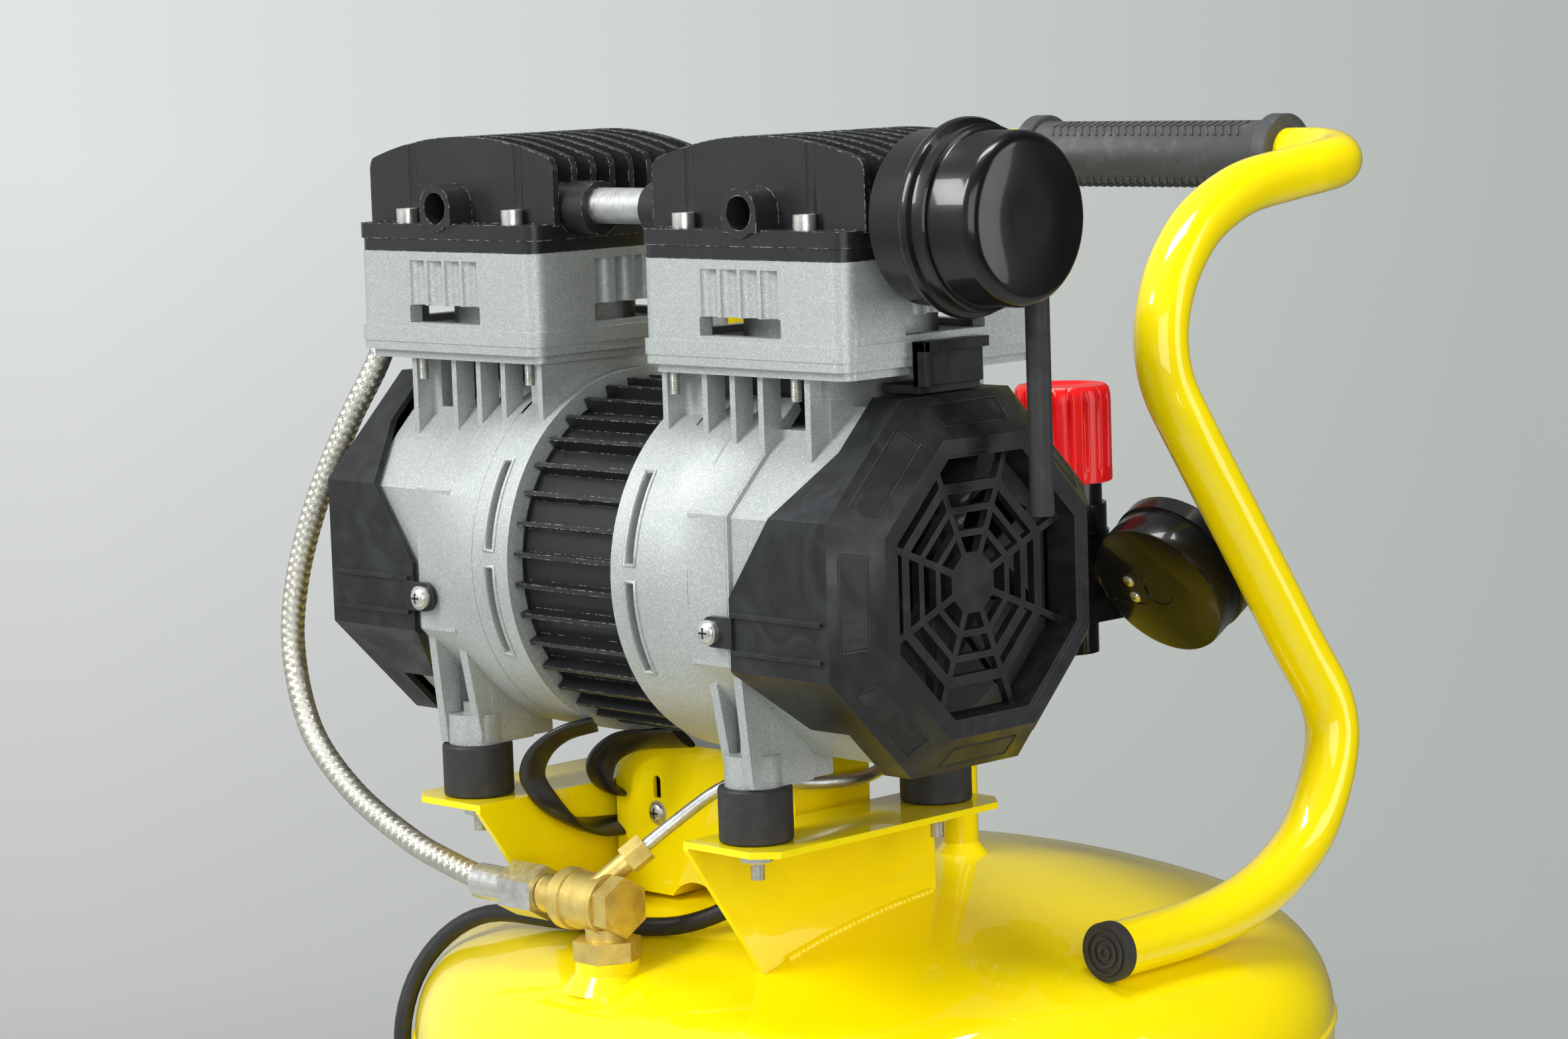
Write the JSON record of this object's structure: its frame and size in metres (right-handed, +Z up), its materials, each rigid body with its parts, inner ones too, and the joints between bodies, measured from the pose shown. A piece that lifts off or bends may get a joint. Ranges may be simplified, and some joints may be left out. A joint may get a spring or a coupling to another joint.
{
  "type": "air compressor",
  "caption": "Wheeled oil-free air compressor: an electric piston pump on an upright domed tank, with a push handle, braided hose, gauges and a regulator.",
  "frame": {"origin": "on the floor, in the middle of the footprint, with the handle and wheels behind and the pump in front", "axes": "+Z up, +Y towards the handle and wheels, +X towards the intake filter end of the pump"},
  "size_m": [0.5012, 0.4623, 0.8275],
  "materials": {
    "yellow_paint": "glossy powder coat",
    "black_castings": "semi-gloss paint over a cast surface",
    "cast_alloy": "as die cast, fine sparkle",
    "zinc_steel": "bright zinc plate",
    "soft_alloy_tube": "satin drawn tube",
    "braid": "woven stainless braid",
    "brass": "machined",
    "black_rubber": "matt moulded rubber",
    "cord_rubber": "smooth cable sheath",
    "grip_rubber": "soft moulded grip",
    "wheel_tyre": "moulded wheel with a hard tread",
    "charcoal_plastic": "fine moulded texture",
    "black_plastic": "fine moulded texture",
    "red_plastic": "glossy moulded plastic",
    "clear_lens": "clear",
    "motor_iron": "laminated steel"
  },
  "bodies": {
    "frame": {"tank": "yellow_paint", "bracket_left": "yellow_paint", "bracket_right": "yellow_paint", "rubber_mounts": "black_rubber", "mount_hardware": "zinc_steel", "handle_tube": "yellow_paint", "handle_grip": "grip_rubber", "handle_caps": "black_rubber", "axle": "zinc_steel", "front_feet": "black_rubber", "stator_housing": "black_castings", "stator_core": "motor_iron", "crankcase_left": "cast_alloy", "crankcase_right": "cast_alloy", "cylinder_housing_left": "cast_alloy", "cylinder_housing_right": "cast_alloy", "cylinder_liners": "zinc_steel", "piston_rods": "cast_alloy", "valve_plates": "black_castings", "head_left": "black_castings", "head_right": "black_castings", "casing_screws": "zinc_steel", "crossover_tube": "soft_alloy_tube", "bearings": "zinc_steel", "fan_cover_left": "charcoal_plastic", "fan_cover_right": "charcoal_plastic", "air_guides": "black_plastic", "filter_housing": "black_plastic", "intake_tube": "black_rubber", "hose_fittings": "zinc_steel", "delivery_hose": "braid", "check_valve": "brass", "unloader_tube": "soft_alloy_tube", "electrics_cover": "yellow_paint", "run_capacitor": "black_plastic", "wire_sleeves": "black_rubber", "manifold": "brass", "switch_base": "black_plastic", "switch_cover": "black_plastic", "regulator_body": "black_plastic", "gauge_cases": "black_plastic", "gauge_lenses": "clear_lens", "coupler_body": "brass", "safety_valve": "brass", "drain_body": "brass", "cord_gland": "cord_rubber", "power_cord": "cord_rubber", "cord_coil": "cord_rubber", "plug": "cord_rubber"},
    "rotor": {"rotor": "motor_iron", "fans": "black_plastic"},
    "regulator_knob": {"regulator_knob": "red_plastic"},
    "needle_outlet": {"needle_outlet": "red_plastic"},
    "needle_tank": {"needle_tank": "red_plastic"},
    "switch_knob": {"switch_knob": "red_plastic"},
    "coupler_sleeve": {"coupler_sleeve": "zinc_steel"},
    "safety_ring": {"safety_ring": "zinc_steel"},
    "drain_lever": {"drain_lever": "red_plastic"},
    "wheel_left": {"wheel_left": "wheel_tyre"},
    "wheel_right": {"wheel_right": "wheel_tyre"}
  },
  "joints": [
    {"name": "rotor_spin", "type": "hinge", "parent": "frame", "child": "rotor", "pos_m": [0, -0.1173, 0.6309], "axis": [1, 0, 0], "continuous": true},
    {"name": "regulator_turn", "type": "hinge", "parent": "frame", "child": "regulator_knob", "pos_m": [0.045, 0.0827, 0.66], "axis": [0, 0, 1], "range_deg": [0, 720]},
    {"name": "outlet_needle", "type": "hinge", "parent": "frame", "child": "needle_outlet", "pos_m": [0.105, 0.0787, 0.598], "axis": [0, -0.866, -0.5], "range_deg": [0, 270], "stiffness_Nm_per_rad": 0.0006},
    {"name": "tank_needle", "type": "hinge", "parent": "frame", "child": "needle_tank", "pos_m": [-0.078, 0.0327, 0.6], "axis": [0, -1, 0], "range_deg": [0, 270], "stiffness_Nm_per_rad": 0.0006},
    {"name": "switch_turn", "type": "hinge", "parent": "frame", "child": "switch_knob", "pos_m": [-0.018, 0.0167, 0.685], "axis": [0, 0, 1], "range_deg": [0, 90]},
    {"name": "coupler_release", "type": "slide", "parent": "frame", "child": "coupler_sleeve", "axis": [0, -1, 0], "range_m": [0, 0.005], "stiffness_N_per_m": 800, "springref_m": -0.003},
    {"name": "safety_pull", "type": "slide", "parent": "frame", "child": "safety_ring", "axis": [0, 0, 1], "range_m": [0, 0.003], "stiffness_N_per_m": 900, "springref_m": -0.003},
    {"name": "drain_turn", "type": "hinge", "parent": "frame", "child": "drain_lever", "pos_m": [0, -0.0203, 0.05], "axis": [0, 0, 1], "range_deg": [0, 90]},
    {"name": "wheel_left_spin", "type": "hinge", "parent": "frame", "child": "wheel_left", "pos_m": [-0.22, 0.1277, 0.07], "axis": [1, 0, 0], "continuous": true},
    {"name": "wheel_right_spin", "type": "hinge", "parent": "frame", "child": "wheel_right", "pos_m": [0.22, 0.1277, 0.07], "axis": [1, 0, 0], "continuous": true}
  ]
}
